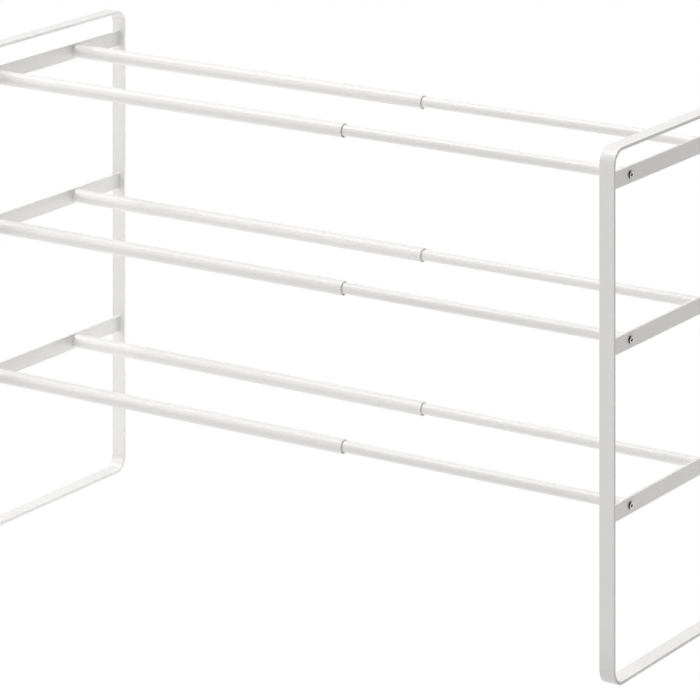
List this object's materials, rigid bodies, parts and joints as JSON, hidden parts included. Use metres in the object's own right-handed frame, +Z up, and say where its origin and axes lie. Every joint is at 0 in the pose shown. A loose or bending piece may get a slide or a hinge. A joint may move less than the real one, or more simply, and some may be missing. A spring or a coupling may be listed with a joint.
{
  "type": "expandable tiered rod rack",
  "caption": "Free-standing tiered rack: two flat-bar side loops joined by pairs of round telescoping tubes, so its width can be set; goods rest across each tube pair.",
  "frame": {"origin": "centre of the footprint on the floor, at the rest width", "axes": "+X across the width towards the frame that slides, +Y from front to rear, +Z up"},
  "size_m": [0.76, 0.262, 0.49],
  "materials": {
    "white_powder_coat": "satin white powder coat",
    "screw_steel": "bright plated, satin",
    "insert_steel": "plated, satin",
    "plug_plastic": "matt moulded plastic"
  },
  "bodies": {
    "left_half": {"left_side_loop": "white_powder_coat", "left_cross_bar_bottom": "white_powder_coat", "left_cross_bar_middle": "white_powder_coat", "left_cross_bar_top": "white_powder_coat", "outer_tube_bottom_front": "white_powder_coat", "outer_tube_bottom_rear": "white_powder_coat", "outer_tube_middle_front": "white_powder_coat", "outer_tube_middle_rear": "white_powder_coat", "outer_tube_top_front": "white_powder_coat", "outer_tube_top_rear": "white_powder_coat", "outer_tube_inserts": "insert_steel", "left_screws": "screw_steel"},
    "right_half": {"right_side_loop": "white_powder_coat", "right_cross_bar_bottom": "white_powder_coat", "right_cross_bar_middle": "white_powder_coat", "right_cross_bar_top": "white_powder_coat", "inner_tube_bottom_front": "white_powder_coat", "inner_tube_bottom_rear": "white_powder_coat", "inner_tube_middle_front": "white_powder_coat", "inner_tube_middle_rear": "white_powder_coat", "inner_tube_top_front": "white_powder_coat", "inner_tube_top_rear": "white_powder_coat", "guide_plug_bottom_front": "plug_plastic", "guide_plug_bottom_rear": "plug_plastic", "guide_plug_middle_front": "plug_plastic", "guide_plug_middle_rear": "plug_plastic", "guide_plug_top_front": "plug_plastic", "guide_plug_top_rear": "plug_plastic", "inner_tube_inserts": "insert_steel", "right_screws": "screw_steel"}
  },
  "joints": [
    {"name": "width_slide", "type": "slide", "parent": "left_half", "child": "right_half", "axis": [1, 0, 0], "range_m": [-0.305, 0.045]}
  ]
}
